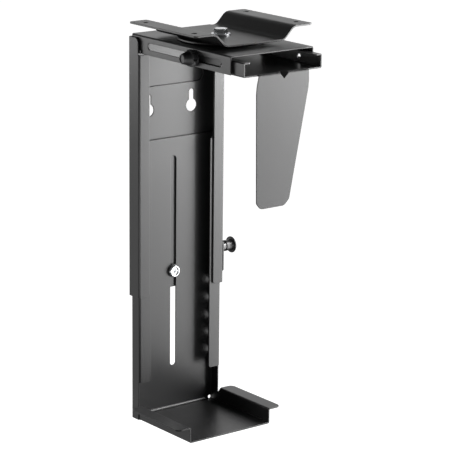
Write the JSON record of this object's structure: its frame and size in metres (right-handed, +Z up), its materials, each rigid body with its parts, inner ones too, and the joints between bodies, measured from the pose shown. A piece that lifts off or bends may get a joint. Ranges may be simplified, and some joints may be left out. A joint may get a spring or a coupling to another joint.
{
  "type": "cpu holder",
  "caption": "Under-desk computer holder: hat-shaped desk plate with a swivelling arm, a sliding clamp tongue and a height-adjustable column ending in a flanged tray.",
  "frame": {"origin": "centre of the four desk screws, on the face of the desk plate that meets the desk", "axes": "+Z up, out of the desk plate towards the desk; +X from the column towards the clamp tongue; +Y across the column, towards the height lock"},
  "size_m": [0.1952, 0.155, 0.451],
  "materials": {
    "powder_coated_steel": "satin black powder coat with a very fine grain",
    "black_steel": "black oxide, slightly glossy",
    "zinc_plated_steel": "bright zinc plating",
    "spring_steel": "plain spring steel, lightly oiled",
    "black_nylon": "black moulded nylon, semi-gloss"
  },
  "bodies": {
    "desk_mount": {"mounting_plate": "powder_coated_steel", "swivel_disc": "powder_coated_steel", "pivot_bolt": "zinc_plated_steel", "pivot_washer": "zinc_plated_steel", "pivot_lower_washer": "zinc_plated_steel", "pivot_nut": "zinc_plated_steel"},
    "swivel_frame": {"upper_arm": "powder_coated_steel", "upper_channel": "powder_coated_steel", "weld_tacks": "powder_coated_steel", "glide_washer": "black_nylon", "guide_screw": "zinc_plated_steel", "guide_washer": "black_nylon", "guide_sleeve_nut": "zinc_plated_steel", "lock_plate": "powder_coated_steel", "lock_rivets": "black_steel", "lock_barrel": "black_steel", "lock_spring": "spring_steel"},
    "width_slider": {"sliding_arm": "powder_coated_steel", "side_glides": "black_nylon", "clamp_stud": "zinc_plated_steel", "clamp_washer": "black_steel", "guide_rivet": "black_steel"},
    "clamp_handle": {"clamp_knob": "black_nylon"},
    "tray_column": {"lower_channel": "powder_coated_steel"},
    "height_lock": {"lock_pin": "spring_steel", "lock_knob": "black_nylon"}
  },
  "joints": [
    {"name": "desk_swivel", "type": "hinge", "parent": "desk_mount", "child": "swivel_frame", "pos_m": [0, 0, 0], "axis": [0, 0, 1], "continuous": true},
    {"name": "width_slide", "type": "slide", "parent": "swivel_frame", "child": "width_slider", "axis": [1, 0, 0], "range_m": [-0.074, 0.042]},
    {"name": "clamp_turn", "type": "hinge", "parent": "width_slider", "child": "clamp_handle", "pos_m": [0.026, -0.06, -0.0286], "axis": [0, 1, 0], "range_deg": [0, 540]},
    {"name": "height_slide", "type": "slide", "parent": "swivel_frame", "child": "tray_column", "axis": [0, 0, 1], "range_m": [-0.123, 0.1025]},
    {"name": "lock_plunge", "type": "slide", "parent": "swivel_frame", "child": "height_lock", "axis": [0, -1, 0], "range_m": [0, 0.004], "deforming": ["lock_spring"]}
  ]
}
